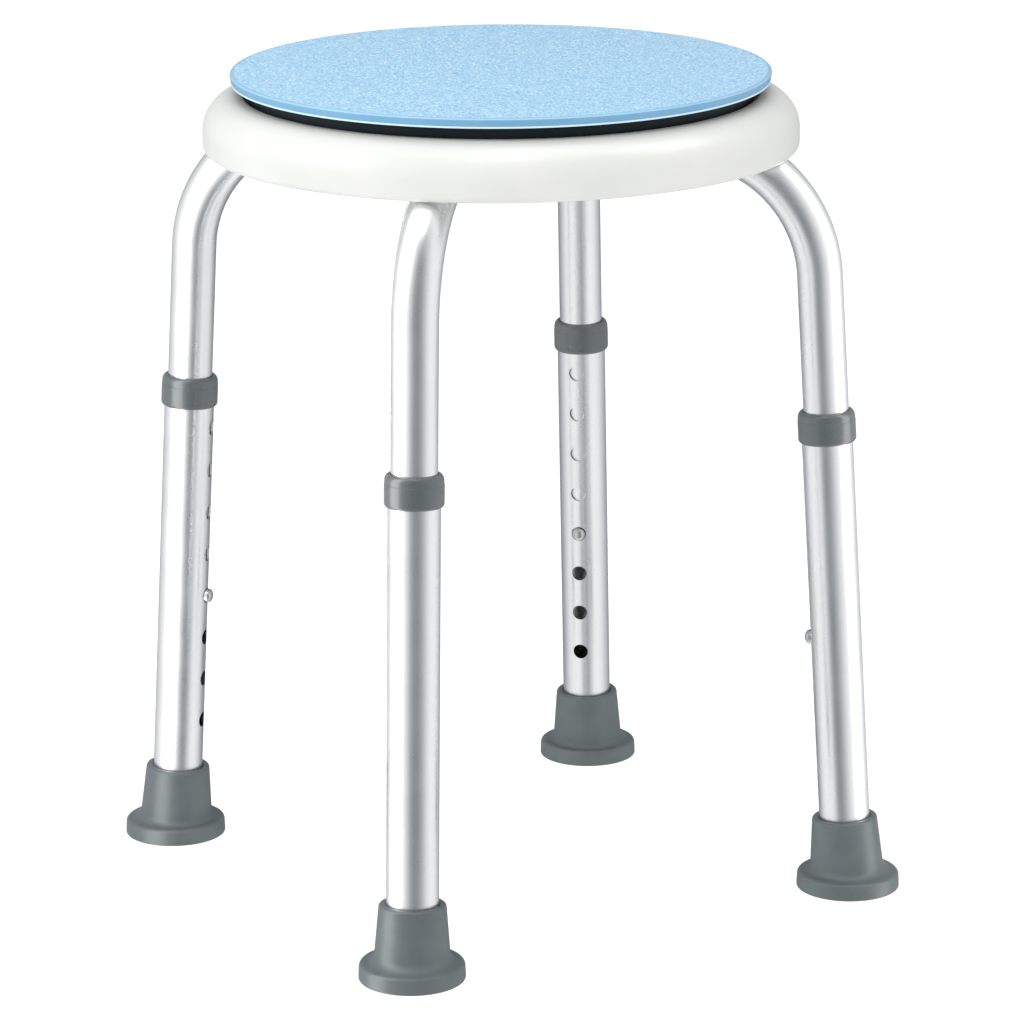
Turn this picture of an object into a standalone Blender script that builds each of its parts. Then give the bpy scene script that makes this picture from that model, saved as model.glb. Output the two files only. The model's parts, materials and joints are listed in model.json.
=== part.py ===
"""Swivel shower stool: a turning seat plate on a moulded seat with four height-adjustable tube legs.

Units are metres, +Z is up, the floor is at z = 0 and the seat turns about the Z axis. Each leg is
drawn once, in the vertical plane through the Z axis that holds it, and is copied to four corners.
"""

import math

import bpy

MM = 0.001
GAP = 0.3 * MM
MERGE = 0.00002

# Corners: name and direction of each leg, in degrees from +X.
CORNERS = {"front_left": 225, "front_right": 315, "rear_right": 45, "rear_left": 135}

# Leg line: where its axis meets the floor, and how far it leans inwards.
FOOT_REACH = 202 * MM
SPLAY = math.radians(3.222)

# Tubes.
UPPER_R = 12.7 * MM
UPPER_WALL = 1.3 * MM
UPPER_END = 133 * MM
BEND_R = 76.2 * MM
BEND_CENTRE_Z = 351.8 * MM
TUBE_INNER_END = 48 * MM
LOWER_R = 14.3 * MM
LOWER_BORE_R = 13.15 * MM
LOWER_END = 13 * MM
TUBE_SIDES = 16
BEND_STEPS = 8

# Height holes, along the leg line, and the snap button in the fourth of them.
HOLE_PITCH = 25.4 * MM
HOLE_COUNT = 8
FIRST_HOLE = 71.5 * MM
HOLE_R = 4.5 * MM
BUTTON_HOLE = 3
BUTTON_R = 3.95 * MM
BUTTON_TIP = 18.0 * MM
BUTTON_FLANGE = (8.2 * MM, 9.5 * MM, 5.3 * MM)
SPRING_WIDTH = 7 * MM
SPRING_THICK = 0.8 * MM
SPRING_LENGTH = 42 * MM

# Collar on the top end of each lower tube.
COLLAR_Z = 270.8 * MM
COLLAR_HEIGHT = 18 * MM
COLLAR_R = 16.25 * MM
COLLAR_STEP = 6 * MM

# Rubber foot.
FLANGE_R = 29.3 * MM
FLANGE_HEIGHT = 10 * MM
FOOT_LOW_R = 21 * MM
FOOT_TOP_R = 18.4 * MM
FOOT_HEIGHT = 42 * MM
WASHER_R = 12.5 * MM
WASHER_THICK = 1.6 * MM

# Moulded seat.
SEAT_R = 166.7 * MM
SEAT_CREST = 452.3 * MM
SHOULDER_WIDE = 21 * MM
SHOULDER_HIGH = 20 * MM
SEAT_BOTTOM = 421.5 * MM
SEAT_CORNER = 4 * MM
SKIRT_WALL = 4.4 * MM
POCKET_R = 143.5 * MM
POCKET_FLOOR = 447.6 * MM
FLOOR_UNDER = 444.3 * MM
SEAT_BOSS_R = 42 * MM
SEAT_BOSS_Z = 432 * MM
SEAT_STEPS = 40

# Leg hub under the seat.
HUB_R = 58 * MM
HUB_BOTTOM = 412 * MM
ARM_R = 15.8 * MM
ARM_START = 43.6 * MM
ARM_END = 94 * MM
ARM_BORE_R = 13.1 * MM
SCREW_REACH = 72 * MM
SCREW_R = 2.5 * MM
SCREW_TOP = 441.8 * MM
SCREW_BOSS_R = 7 * MM
SCREW_BOSS_Z = 408.5 * MM
HUB_SCREW_REACH = 28 * MM
HUB_SCREW_R = 2.0 * MM
HUB_SCREW_TOP = 443 * MM
HEAD_HEIGHT = 2.7 * MM

# Swivel.
PLATE_R = 151.3 * MM
PLATE_TOP = 464.3 * MM
PLATE_BOTTOM = 458.8 * MM
PLATE_LOW_R = 150.1 * MM
PLATE_EDGE = 1.2 * MM
PLATE_RECESS_R = 13 * MM
PLATE_RECESS_Z = 461.6 * MM
CARRIER_R = 141.5 * MM
CARRIER_TOP = 458.5 * MM
CARRIER_BOTTOM = 450.0 * MM
CARRIER_RIM = 3 * MM
CARRIER_UNDER = 455.2 * MM
CARRIER_BORE_R = 6.3 * MM
CARRIER_BOSS_R = 13 * MM
COUNTERBORE_R = 8.5 * MM
RACE_R = (92 * MM, 108 * MM)
RACE_THICK = 1.0 * MM
BALL_R = 2.2 * MM
BALL_COUNT = 12
BALL_RING_R = 100 * MM
CAGE_HALF_WIDTH = 5 * MM
CAGE_THICK = 1.4 * MM
BOLT_R = 4 * MM
BOLT_HEAD_R = 7.5 * MM
BOLT_HEAD_Z = 456.8 * MM
BOLT_HEAD_HEIGHT = 4.4 * MM
BOLT_END = 402.5 * MM
PIVOT_WASHER_R = 8.1 * MM
PIVOT_WASHER_Z = BOLT_HEAD_Z - GAP - MM
BOLT_BORE_R = 4.45 * MM
BUSH_R = 6.0 * MM
BUSH_FLANGE_R = 9.5 * MM
PLATE_SCREW_REACH = 62 * MM
PLATE_SCREW_TOP = 461.5 * MM

LEG_LEAN = (math.sin(SPLAY), math.cos(SPLAY))


def clear_scene():
    for old in list(bpy.data.objects):
        bpy.data.objects.remove(old, do_unlink=True)


def collection(name):
    made = bpy.data.collections.new(name)
    bpy.context.scene.collection.children.link(made)
    return made


def material(name, colour, roughness, metallic):
    made = bpy.data.materials.new(name)
    made.use_nodes = True
    shader = made.node_tree.nodes["Principled BSDF"]
    shader.inputs["Base Color"].default_value = (*colour, 1)
    shader.inputs["Roughness"].default_value = roughness
    shader.inputs["Metallic"].default_value = metallic
    return made


def place(obj, group, finish=None, parent=None):
    """Put an object in its collection, with its finish and its parent."""
    for home in list(obj.users_collection):
        home.objects.unlink(obj)
    group.objects.link(obj)
    if finish is not None:
        obj.data.materials.append(finish)
    obj.parent = parent
    return obj


def as_cutter(obj):
    obj.hide_render = True
    obj.display_type = "WIRE"
    return obj


def arc(cx, cz, rx, rz, start, end, steps):
    """Points of an elliptical arc in the XZ plane, angles in degrees from +X."""
    angles = [math.radians(start + (end - start) * i / steps) for i in range(steps + 1)]
    return [(cx + rx * math.cos(a), cz + rz * math.sin(a)) for a in angles]


def turned(name, profile, steps, group, finish=None, parent=None, ring=False):
    """A body of revolution: profile runs down its outer side; a ring's profile is a closed loop."""
    mesh = bpy.data.meshes.new(name)
    edges = [(i, i + 1) for i in range(len(profile) - 1)]
    if ring:
        edges.append((len(profile) - 1, 0))
    mesh.from_pydata([(x, 0, z) for x, z in profile], edges, [])
    obj = bpy.data.objects.new(name, mesh)
    screw = obj.modifiers.new("Turn", "SCREW")
    screw.steps = steps
    screw.render_steps = steps
    screw.use_merge_vertices = True
    screw.merge_threshold = MERGE
    screw.use_smooth_shade = True
    return place(obj, group, finish, parent)


def cylinder(name, radius, low, high, sides, group, finish=None, parent=None, at=(0, 0)):
    """An upright cylinder between two heights."""
    bpy.ops.mesh.primitive_cylinder_add(vertices=sides, radius=radius, depth=high - low)
    obj = bpy.context.object
    obj.name = name
    obj.location = (at[0], at[1], (low + high) / 2)
    return place(obj, group, finish, parent)


def lying_cylinder(name, radius, start, end, height, sides, group, parent=None):
    """A cylinder along its parent's X axis, between two distances from the origin."""
    bpy.ops.mesh.primitive_cylinder_add(vertices=sides, radius=radius, depth=abs(end - start))
    obj = bpy.context.object
    obj.name = name
    obj.rotation_euler = (0, math.pi / 2, 0)
    obj.location = ((start + end) / 2, 0, height)
    return place(obj, group, None, parent)


def boolean(target, other, operation="DIFFERENCE"):
    modifier = target.modifiers.new(operation.title(), "BOOLEAN")
    modifier.operation = operation
    modifier.object = other
    modifier.solver = "EXACT"
    return modifier


def leg_point(distance):
    """Reach and height of a point on the leg line, this far along it from the floor."""
    return FOOT_REACH - LEG_LEAN[0] * distance, LEG_LEAN[1] * distance


def bend_centre():
    """The bend's centre is a bend radius inside the leg line, so that both runs are tangent to it."""
    inset = BEND_R * LEG_LEAN[0]
    distance = (BEND_CENTRE_Z + inset) / LEG_LEAN[1]
    reach = leg_point(distance)[0]
    return reach - BEND_R * LEG_LEAN[1], BEND_CENTRE_Z


def upper_tube_path():
    """Centre line of an upper tube, from inside the hub, round the bend and down the leg line."""
    cx, cz = bend_centre()
    bend = arc(cx, cz, BEND_R, BEND_R, 90, math.degrees(SPLAY), BEND_STEPS)
    return [(TUBE_INNER_END, cz + BEND_R), *bend, leg_point(UPPER_END)]


def swept_tube(name, path, radius, wall, group, finish, parent):
    """A round tube with an open bore along a path in its parent's XZ plane."""
    curve = bpy.data.curves.new(name + "_path", "CURVE")
    curve.dimensions = "3D"
    curve.bevel_depth = radius
    curve.bevel_resolution = (TUBE_SIDES - 4) // 4
    spline = curve.splines.new("POLY")
    spline.points.add(len(path) - 1)
    for point, (x, z) in zip(spline.points, path):
        point.co = (x, 0, z, 1)
    guide = bpy.data.objects.new(name + "_path", curve)
    bpy.context.scene.collection.objects.link(guide)
    graph = bpy.context.evaluated_depsgraph_get()
    mesh = bpy.data.meshes.new_from_object(guide.evaluated_get(graph))
    bpy.data.objects.remove(guide, do_unlink=True)
    mesh.name = name
    mesh.materials.clear()
    mesh.shade_smooth()
    obj = bpy.data.objects.new(name, mesh)
    solidify = obj.modifiers.new("Wall", "SOLIDIFY")
    solidify.thickness = wall
    solidify.offset = -1
    return place(obj, group, finish, parent)


def ring_profile(inner, outer, low, high):
    return [(outer, high), (outer, low), (inner, low), (inner, high)]


def pan_screw(name, at, head_top, shank_r, tip, group, finish, parent=None):
    """A pan-head screw driven upwards, its head just below head_top."""
    head_r = 2 * shank_r
    low = head_top - HEAD_HEIGHT
    crown = arc(0, head_top, head_r, HEAD_HEIGHT, 0, -90, 3)
    profile = [(0, tip), (shank_r, tip - shank_r / 2), (shank_r, head_top), *crown]
    assert profile[-1][1] <= low + MERGE
    obj = turned(name, profile, 12, group, finish, parent)
    obj.location = (at[0], at[1], 0)
    return obj


def seat_profile():
    """The moulded seat: pocket and crest above, skirt at the edge, floor and boss below."""
    spring_r = SEAT_R - SHOULDER_WIDE
    spring_z = SEAT_CREST - SHOULDER_HIGH
    shoulder = arc(spring_r, spring_z, SHOULDER_WIDE, SHOULDER_HIGH, 90, 0, 7)
    corner = arc(SEAT_R - SEAT_CORNER, SEAT_BOTTOM + SEAT_CORNER, SEAT_CORNER, SEAT_CORNER, 0, -90, 3)
    skirt_r = SEAT_R - SKIRT_WALL
    inner_wide = SHOULDER_WIDE - SKIRT_WALL
    inner_high = SHOULDER_HIGH - SKIRT_WALL
    floor_turn = math.degrees(math.asin((FLOOR_UNDER - spring_z) / inner_high))
    hollow = arc(spring_r, spring_z, inner_wide, inner_high, 0, floor_turn, 3)
    lip = spring_r - POCKET_R
    crest = arc(POCKET_R + lip, SEAT_CREST - lip, lip, lip, 180, 90, 2)[:-1]
    return [
        (BOLT_BORE_R, POCKET_FLOOR),
        (POCKET_R, POCKET_FLOOR),
        *crest,
        *shoulder,
        *corner,
        (skirt_r, SEAT_BOTTOM + MM),
        *hollow,
        (SEAT_BOSS_R, FLOOR_UNDER),
        (SEAT_BOSS_R, SEAT_BOSS_Z),
        (BOLT_BORE_R, SEAT_BOSS_Z),
    ]


def make_seat(parts, cutters, finish):
    seat = turned("seat_shell", seat_profile(), SEAT_STEPS, parts, finish, ring=True)
    for turn in range(4):
        at = quarter_point(HUB_SCREW_REACH, turn)
        hole = cylinder(f"cut_seat_screw_{turn}", HUB_SCREW_R + GAP, SEAT_BOSS_Z - MM,
                        HUB_SCREW_TOP + MM, 12, cutters, at=at)
        boolean(seat, as_cutter(hole))


def quarter_point(reach, turn):
    """A point on one of the four axes, so between the legs."""
    return reach * math.cos(turn * math.pi / 2), reach * math.sin(turn * math.pi / 2)


def make_hub(parts, cutters, stations, finish):
    """Centre disc with four sleeves that hold the tubes, each with a boss for its screw."""
    axis_z = BEND_CENTRE_Z + BEND_R
    top = SEAT_BOSS_Z - GAP
    hub = turned("leg_hub", ring_profile(BOLT_BORE_R, HUB_R, HUB_BOTTOM, top), 24, parts, finish, ring=True)
    for corner, station in stations.items():
        arm = lying_cylinder("join_arm_" + corner, ARM_R, ARM_START, ARM_END, axis_z, 20, cutters, station)
        boss = cylinder("join_boss_" + corner, SCREW_BOSS_R, SCREW_BOSS_Z, axis_z - UPPER_R - GAP,
                        14, cutters, parent=station, at=(SCREW_REACH, 0))
        boolean(hub, as_cutter(arm), "UNION")
        boolean(hub, as_cutter(boss), "UNION")
    for corner, station in stations.items():
        bore = lying_cylinder("cut_arm_" + corner, ARM_BORE_R, TUBE_INNER_END - MM, ARM_END + MM,
                              axis_z, TUBE_SIDES, cutters, station)
        boolean(hub, as_cutter(bore))
        boolean(hub, cutters.objects["cut_leg_screw_" + corner])
    for turn in range(4):
        at = quarter_point(HUB_SCREW_REACH, turn)
        hole = cylinder(f"cut_hub_screw_{turn}", HUB_SCREW_R + GAP, HUB_BOTTOM - MM, top + MM,
                        12, cutters, at=at)
        boolean(hub, as_cutter(hole))


def make_fasteners(parts, stations, steel):
    for corner, station in stations.items():
        pan_screw("leg_screw_" + corner, (SCREW_REACH, 0), SCREW_BOSS_Z - GAP, SCREW_R, SCREW_TOP,
                  parts, steel, station)
    for turn, side in enumerate(("right", "rear", "left", "front")):
        pan_screw("hub_screw_" + side, quarter_point(HUB_SCREW_REACH, turn), HUB_BOTTOM - GAP,
                  HUB_SCREW_R, HUB_SCREW_TOP, parts, steel)


def make_swivel(parts, cutters, blue, dark, steel, plastic):
    edge = PLATE_EDGE
    plate = turned("seat_plate", [
        (0, PLATE_TOP),
        *arc(PLATE_R - edge, PLATE_TOP - edge, edge, edge, 90, 0, 2),
        *arc(PLATE_LOW_R - edge, PLATE_BOTTOM + edge, edge, edge, 0, -90, 2),
        (PLATE_RECESS_R, PLATE_BOTTOM),
        (PLATE_RECESS_R, PLATE_RECESS_Z),
        (0, PLATE_RECESS_Z),
    ], SEAT_STEPS, parts, blue)
    inner_r = CARRIER_R - CARRIER_RIM
    carrier = turned("turntable_carrier", [
        (COUNTERBORE_R, CARRIER_TOP),
        (CARRIER_R, CARRIER_TOP),
        (CARRIER_R, CARRIER_BOTTOM),
        (inner_r, CARRIER_BOTTOM),
        (inner_r, CARRIER_UNDER),
        (CARRIER_BOSS_R, CARRIER_UNDER),
        (CARRIER_BOSS_R, CARRIER_BOTTOM),
        (CARRIER_BORE_R, CARRIER_BOTTOM),
        (CARRIER_BORE_R, PIVOT_WASHER_Z - GAP),
        (COUNTERBORE_R, PIVOT_WASHER_Z - GAP),
    ], SEAT_STEPS, parts, dark, ring=True)
    for turn in range(4):
        at = quarter_point(PLATE_SCREW_REACH, turn)
        hole = cylinder(f"cut_plate_screw_{turn}", HUB_SCREW_R + GAP, CARRIER_UNDER - MM,
                        PLATE_SCREW_TOP + GAP, 12, cutters, at=at)
        boolean(carrier, as_cutter(hole))
        boolean(plate, hole)
        pan_screw(f"plate_screw_{turn + 1}", at, CARRIER_UNDER - GAP, HUB_SCREW_R, PLATE_SCREW_TOP,
                  parts, steel)
    race_low = POCKET_FLOOR + GAP
    race_high = CARRIER_UNDER - GAP - RACE_THICK
    for name, low in (("lower_race", race_low), ("upper_race", race_high)):
        turned(name, ring_profile(*RACE_R, low, low + RACE_THICK), 24, parts, steel, ring=True)
    make_cage(parts, cutters, (race_low + RACE_THICK + race_high) / 2, plastic)


def make_cage(parts, cutters, centre_z, finish):
    """The bearing's flat cage ring with its balls pressed in."""
    half = CAGE_THICK / 2
    inner = BALL_RING_R - CAGE_HALF_WIDTH
    outer = BALL_RING_R + CAGE_HALF_WIDTH
    cage = turned("ball_cage", ring_profile(inner, outer, centre_z - half, centre_z + half), 24,
                  parts, finish, ring=True)
    for index in range(BALL_COUNT):
        angle = 2 * math.pi * (index + 0.5) / BALL_COUNT
        bpy.ops.mesh.primitive_uv_sphere_add(segments=8, ring_count=6, radius=BALL_R)
        ball = bpy.context.object
        ball.name = f"join_ball_{index}"
        ball.location = (BALL_RING_R * math.cos(angle), BALL_RING_R * math.sin(angle), centre_z)
        place(ball, cutters)
        boolean(cage, as_cutter(ball), "UNION")


def make_pivot(parts, steel, plastic):
    """The bolt that the seat turns on, its bush and washers, and the lock nut under the hub."""
    bush_top = PIVOT_WASHER_Z - GAP
    flange_low = POCKET_FLOOR + GAP
    turned("pivot_bush", [
        (BOLT_BORE_R, bush_top),
        (BUSH_R, bush_top),
        (BUSH_R, flange_low + 1.5 * MM),
        (BUSH_FLANGE_R, flange_low + 1.5 * MM),
        (BUSH_FLANGE_R, flange_low),
        (BOLT_BORE_R, flange_low),
    ], 16, parts, plastic, ring=True)
    turned("pivot_washer",
           ring_profile(BOLT_BORE_R, PIVOT_WASHER_R, PIVOT_WASHER_Z, PIVOT_WASHER_Z + MM), 16,
           parts, steel, ring=True)
    crown = arc(0, BOLT_HEAD_Z, BOLT_HEAD_R, BOLT_HEAD_HEIGHT, 90, 0, 3)
    turned("pivot_bolt", [*crown, (BOLT_R, BOLT_HEAD_Z), (BOLT_R, BOLT_END + MM),
                          (BOLT_R - MM, BOLT_END), (0, BOLT_END)], 16, parts, steel)
    washer_top = HUB_BOTTOM - GAP
    turned("hub_washer", ring_profile(BOLT_BORE_R, 9 * MM, washer_top - MM, washer_top), 16,
           parts, steel, ring=True)
    nut_top = washer_top - MM - GAP
    bore = (BOLT_R + GAP) / math.cos(math.pi / 6)
    turned("lock_nut", ring_profile(bore, 7.4 * MM, nut_top - 6.5 * MM, nut_top), 6,
           parts, steel, ring=True)


def make_lower_tube(corner, parts, cutters, line, finish):
    top = COLLAR_Z + COLLAR_HEIGHT / 2 - COLLAR_STEP
    tube = turned("lower_tube_" + corner, ring_profile(LOWER_BORE_R, LOWER_R, LOWER_END, top),
                  TUBE_SIDES, parts, finish, line, ring=True)
    for index in range(HOLE_COUNT):
        name = f"cut_hole_{index}_{corner}"
        height = FIRST_HOLE + index * HOLE_PITCH
        hole = lying_cylinder(name, HOLE_R, -LOWER_R - MM, -MM, height, 8, cutters, line)
        boolean(tube, as_cutter(hole))


def make_collar(corner, parts, line, finish):
    low = COLLAR_Z - COLLAR_HEIGHT / 2
    high = COLLAR_Z + COLLAR_HEIGHT / 2
    edge = 1.5 * MM
    step = high - COLLAR_STEP + GAP
    turned("collar_" + corner, [
        (UPPER_R + 2 * GAP, high),
        *arc(COLLAR_R - 2 * edge, high - 2 * edge, 2 * edge, 2 * edge, 80, 0, 2),
        *arc(COLLAR_R - edge, low + edge, edge, edge, 0, -90, 1),
        (LOWER_R + GAP, low),
        (LOWER_R + GAP, step),
        (UPPER_R + 2 * GAP, step),
    ], TUBE_SIDES, parts, finish, line, ring=True)


def make_foot(corner, parts, cutters, station, line, rubber, steel):
    """A level flange on the floor and a socket that leans with the leg."""
    edge = 2.5 * MM
    foot = turned("foot_" + corner, [
        (0, FLANGE_HEIGHT),
        *arc(FLANGE_R - edge, FLANGE_HEIGHT - edge, edge, edge, 80, 0, 2),
        (FLANGE_R, MM),
        (FLANGE_R - MM, 0),
        (0, 0),
    ], 24, parts, rubber, station)
    foot.location = (FOOT_REACH, 0, 0)
    body = turned("join_foot_" + corner, [
        (0, FOOT_HEIGHT),
        *arc(FOOT_TOP_R - 2 * MM, FOOT_HEIGHT - 2 * MM, 2 * MM, 2 * MM, 90, 0, 2),
        (FOOT_LOW_R, FLANGE_HEIGHT),
        (FOOT_LOW_R, 4 * MM),
        (0, 4 * MM),
    ], 20, cutters, None, line)
    boolean(foot, as_cutter(body), "UNION")
    washer_low = LOWER_END - GAP - WASHER_THICK
    socket = cylinder("cut_socket_" + corner, LOWER_R + GAP, washer_low - GAP, FOOT_HEIGHT + MM, 20,
                      cutters, parent=line)
    boolean(foot, as_cutter(socket))
    turned("foot_washer_" + corner, ring_profile(3 * MM, WASHER_R, washer_low, washer_low + WASHER_THICK),
           16, parts, steel, line, ring=True)


def make_button(corner, parts, line, steel):
    """A domed snap button that points at the stool's axis, and the spring leaf behind it."""
    height = FIRST_HOLE + BUTTON_HOLE * HOLE_PITCH
    base, shelf, flange_r = BUTTON_FLANGE
    dome = arc(0, BUTTON_TIP - BUTTON_R / 2, BUTTON_R, BUTTON_R / 2, 90, 0, 3)
    button = turned("snap_button_" + corner, [*dome, (BUTTON_R, shelf), (flange_r, shelf),
                                             (flange_r, base), (0, base)], 12, parts, steel, line)
    button.rotation_euler = (0, -math.pi / 2, 0)
    button.location = (0, 0, height)
    outer = -(base - GAP)
    back = UPPER_R - UPPER_WALL - 0.9 * MM
    top = height + SPRING_LENGTH
    outline = [
        (outer, height - 6 * MM), (outer, height + 8 * MM), (-MM, top), (MM, top),
        (back, height + 8 * MM), (back, height - 4 * MM),
        (back - SPRING_THICK, height - 4 * MM), (back - SPRING_THICK, height + 8 * MM),
        (0.5 * MM, top - 2 * MM), (-0.5 * MM, top - 2 * MM),
        (outer + SPRING_THICK, height + 8 * MM), (outer + SPRING_THICK, height - 6 * MM),
    ]
    curve = bpy.data.curves.new("button_spring_" + corner, "CURVE")
    curve.dimensions = "2D"
    curve.fill_mode = "BOTH"
    curve.extrude = SPRING_WIDTH / 2
    spline = curve.splines.new("POLY")
    spline.use_cyclic_u = True
    spline.points.add(len(outline) - 1)
    for point, (x, z) in zip(spline.points, outline):
        point.co = (x, z, 0, 1)
    leaf = bpy.data.objects.new("button_spring_" + corner, curve)
    leaf.rotation_euler = (math.pi / 2, 0, 0)
    place(leaf, parts, steel, line)


def make_upper_tube(corner, parts, cutters, station, line, finish):
    tube = swept_tube("upper_tube_" + corner, upper_tube_path(), UPPER_R, UPPER_WALL, parts, finish, station)
    screw_hole = cylinder("cut_leg_screw_" + corner, SCREW_R + 1.5 * GAP, SCREW_BOSS_Z - MM,
                          SCREW_TOP + GAP, 12, cutters, parent=station, at=(SCREW_REACH, 0))
    boolean(tube, as_cutter(screw_hole))
    height = FIRST_HOLE + BUTTON_HOLE * HOLE_PITCH
    hole = lying_cylinder("cut_button_" + corner, HOLE_R, -UPPER_R - MM, -MM, height, 12, cutters, line)
    boolean(tube, as_cutter(hole))


def make_stations(parts):
    """Two empties a corner: one at its azimuth, and one on the leg line with Z along the leg."""
    stations = {}
    lines = {}
    for corner, azimuth in CORNERS.items():
        station = bpy.data.objects.new("station_" + corner, None)
        station.rotation_euler = (0, 0, math.radians(azimuth))
        line = bpy.data.objects.new("leg_line_" + corner, None)
        line.location = (FOOT_REACH, 0, 0)
        line.rotation_euler = (0, -SPLAY, 0)
        stations[corner] = place(station, parts)
        lines[corner] = place(line, parts, parent=station)
    return stations, lines


def main():
    clear_scene()
    parts = collection("swivel_shower_stool")
    cutters = collection("cutters")
    white = material("white_plastic", (0.86, 0.87, 0.85), 0.35, 0)
    blue = material("blue_plastic", (0.30, 0.55, 0.78), 0.4, 0)
    dark = material("dark_plastic", (0.03, 0.035, 0.04), 0.5, 0)
    grey = material("grey_plastic", (0.17, 0.20, 0.21), 0.5, 0)
    rubber = material("grey_rubber", (0.13, 0.16, 0.17), 0.7, 0)
    aluminium = material("anodised_aluminium", (0.80, 0.81, 0.83), 0.35, 1)
    steel = material("steel", (0.62, 0.63, 0.65), 0.3, 1)
    nylon = material("nylon", (0.75, 0.75, 0.72), 0.5, 0)
    stations, lines = make_stations(parts)
    for corner, station in stations.items():
        line = lines[corner]
        make_upper_tube(corner, parts, cutters, station, line, aluminium)
        make_lower_tube(corner, parts, cutters, line, aluminium)
        make_collar(corner, parts, line, grey)
        make_foot(corner, parts, cutters, station, line, rubber, steel)
        make_button(corner, parts, line, steel)
    make_seat(parts, cutters, white)
    make_hub(parts, cutters, stations, white)
    make_fasteners(parts, stations, steel)
    make_swivel(parts, cutters, blue, dark, steel, nylon)
    make_pivot(parts, steel, nylon)


main()
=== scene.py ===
"""Looks of the swivel shower stool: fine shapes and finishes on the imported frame, with a plain studio."""

import json
import math

import bmesh
import bpy
from mathutils import Matrix, Vector

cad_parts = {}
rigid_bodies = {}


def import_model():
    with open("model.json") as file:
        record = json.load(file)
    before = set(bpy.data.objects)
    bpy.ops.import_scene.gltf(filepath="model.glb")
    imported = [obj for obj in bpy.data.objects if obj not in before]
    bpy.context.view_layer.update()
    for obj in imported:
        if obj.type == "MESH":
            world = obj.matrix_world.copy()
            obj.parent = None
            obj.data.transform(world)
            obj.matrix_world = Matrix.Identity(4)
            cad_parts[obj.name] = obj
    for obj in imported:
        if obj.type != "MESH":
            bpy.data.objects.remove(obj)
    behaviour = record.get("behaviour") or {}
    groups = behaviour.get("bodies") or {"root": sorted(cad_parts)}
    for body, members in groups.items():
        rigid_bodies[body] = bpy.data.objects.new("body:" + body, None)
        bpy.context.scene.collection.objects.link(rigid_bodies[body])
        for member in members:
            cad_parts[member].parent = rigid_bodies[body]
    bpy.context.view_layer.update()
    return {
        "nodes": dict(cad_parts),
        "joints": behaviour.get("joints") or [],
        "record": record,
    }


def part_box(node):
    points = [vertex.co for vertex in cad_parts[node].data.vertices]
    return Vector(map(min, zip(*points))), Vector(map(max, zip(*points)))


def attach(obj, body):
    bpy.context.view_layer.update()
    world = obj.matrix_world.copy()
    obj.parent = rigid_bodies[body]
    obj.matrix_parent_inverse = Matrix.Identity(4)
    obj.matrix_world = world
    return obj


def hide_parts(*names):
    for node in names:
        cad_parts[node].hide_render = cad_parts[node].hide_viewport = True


MM = 0.001

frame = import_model()
RECORD = frame["record"]
MOUNTS = {mount["name"]: Vector(mount["pos_m"]) for mount in RECORD["mounts"]}
JOINTS = {joint["name"]: joint for joint in frame["joints"]}
CORNERS = [name[len("leg_slide_"):] for name in JOINTS if name.startswith("leg_slide_")]

# Camera: place, heading from +X, pitch, roll and lens for a 36 mm sensor.
CAMERA_PLACE = (-1.3366, -2.2876, 0.9326)
CAMERA_HEADING = math.radians(59.60)
CAMERA_PITCH = math.radians(-15.29)
CAMERA_ROLL = math.radians(-0.34)
CAMERA_LENS = 169.1

# Legs: the floor end of each line, and how far it leans, come from the frame.
FOOT_REACH = MOUNTS["sole_" + CORNERS[0]].xy.length
SPLAY = math.asin(Vector(JOINTS["leg_slide_" + CORNERS[0]]["axis"]).xy.length)

# Tubes.
UPPER_R = 12.7 * MM
UPPER_BORE = 11.4 * MM
UPPER_END = 133 * MM
BEND_R = 76.2 * MM
BEND_CENTRE_Z = 351.8 * MM
TUBE_AXIS_Z = BEND_CENTRE_Z + BEND_R
TUBE_INNER_END = 48 * MM
TUBE_CHAMFER = 0.25 * MM
LOWER_R = 14.3 * MM
LOWER_BORE = 13.15 * MM
LOWER_END = 13 * MM
TUBE_SIDES = 96
HOLE_PITCH = 25.4 * MM
HOLE_COUNT = 8
FIRST_HOLE = 71.5 * MM
HOLE_R = 4.5 * MM
BUTTON_HEIGHT = FIRST_HOLE + 3 * HOLE_PITCH
BUTTON_R = 3.95 * MM
BUTTON_TIP = 18 * MM
BUTTON_DOME = 2.6 * MM
BUTTON_FLANGE_R = 5.3 * MM
BUTTON_FLANGE_LOW = 8.2 * MM
BUTTON_FLANGE_HIGH = 9.5 * MM

# Collar: the shoulder and the hem are (width, height) of their roundings.
COLLAR_LOW = 261.8 * MM
COLLAR_HIGH = 279.8 * MM
COLLAR_R = 16.25 * MM
COLLAR_SEAT = 274.1 * MM
COLLAR_SHOULDER = (2.8 * MM, 3.8 * MM)
COLLAR_HEM = (1.5 * MM, 2.0 * MM)

# Foot.
FLANGE_R = 29.3 * MM
FLANGE_HEIGHT = 10 * MM
FOOT_LOW_R = 21 * MM
FOOT_TOP_R = 18.4 * MM
FOOT_HEIGHT = 42 * MM
FOOT_BORE_FLOOR = 10.9 * MM
TREAD_DEPTH = 0.9 * MM

# Outer sizes of the seat, the plate and the carrier, from the frame.
SEAT_LOW, SEAT_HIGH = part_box("seat_shell")
SEAT_R = SEAT_HIGH.x
PLATE_LOW, PLATE_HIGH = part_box("seat_plate")
PLATE_R = PLATE_HIGH.x
CARRIER_LOW, CARRIER_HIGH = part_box("turntable_carrier")
CARRIER_R = CARRIER_HIGH.x

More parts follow.
